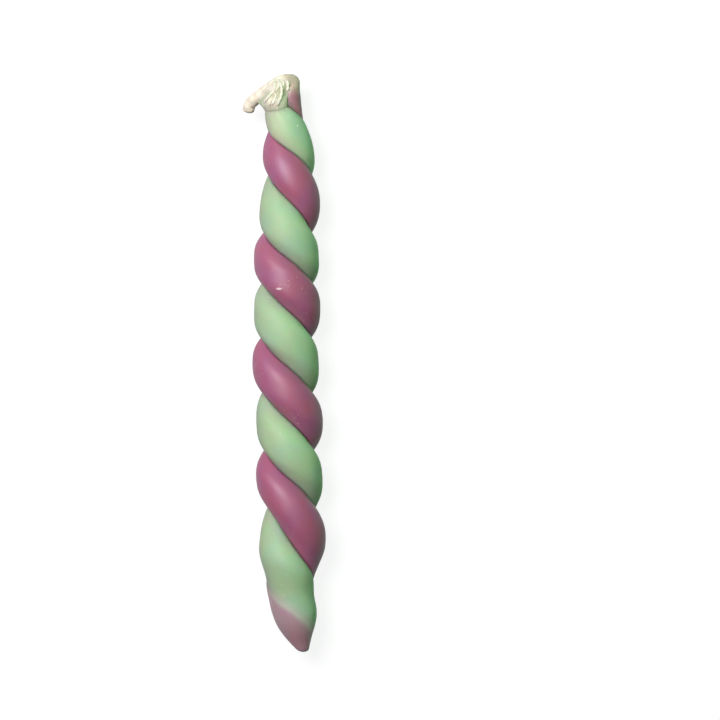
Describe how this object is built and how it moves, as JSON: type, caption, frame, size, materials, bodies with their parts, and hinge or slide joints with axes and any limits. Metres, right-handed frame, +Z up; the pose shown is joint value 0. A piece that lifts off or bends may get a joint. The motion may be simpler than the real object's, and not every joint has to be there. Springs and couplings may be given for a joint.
{
  "type": "twisted beeswax candle",
  "caption": "Tapered party candle of mint and mauve beeswax twisted together to a pointed foot, lying on its side, with one bent wick and one that has come apart into its plies.",
  "frame": {"origin": "on the table, under the middle of the bounding box of the candle as it lies on its side", "axes": "+Y along the candle from the foot to the wicks, +Z up from the table, +X to the right seen from above with the wicks at the far end"},
  "size_m": [0.014, 0.1, 0.0111],
  "materials": {
    "mint_wax": "satin dyed beeswax, slightly translucent",
    "mauve_wax": "satin dyed beeswax, slightly translucent",
    "cotton_wick": "braided cotton coated with clear wax"
  },
  "bodies": {
    "root": {"mint_taper": "mint_wax", "mauve_taper": "mauve_wax", "mint_wick": "cotton_wick", "mauve_wick": "cotton_wick"}
  },
  "joints": []
}
